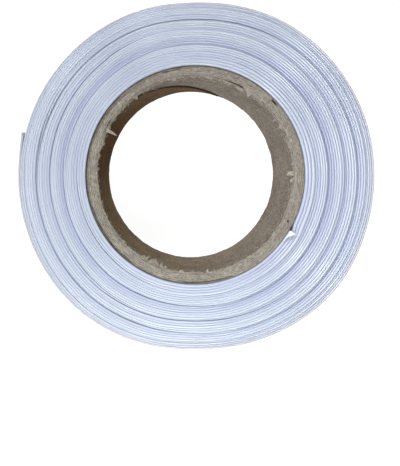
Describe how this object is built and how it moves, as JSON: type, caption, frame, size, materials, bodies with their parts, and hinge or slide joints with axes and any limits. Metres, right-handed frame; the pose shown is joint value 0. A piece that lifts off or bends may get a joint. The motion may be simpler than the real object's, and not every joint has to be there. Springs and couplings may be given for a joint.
{
  "type": "roll of bias tape",
  "caption": "Single-fold satin bias tape wound on a greyboard tube, lying on its side, with its loose end showing as a slightly lifted step.",
  "frame": {"origin": "centre of the roll's bounding box on the surface it lies on, 0.3 mm from the tube's axis", "axes": "+Z along the tube's axis, away from the surface; the tape's loose end is towards -X"},
  "size_m": [0.0724, 0.0704, 0.0189],
  "materials": {
    "greyboard": "rough, matt greyboard with ragged inner rims",
    "satin": "bluish white polyester satin cut on the bias, pressed folds"
  },
  "bodies": {
    "root": {"core": "greyboard", "wound_tape": "satin", "loose_end": "satin"}
  },
  "joints": []
}
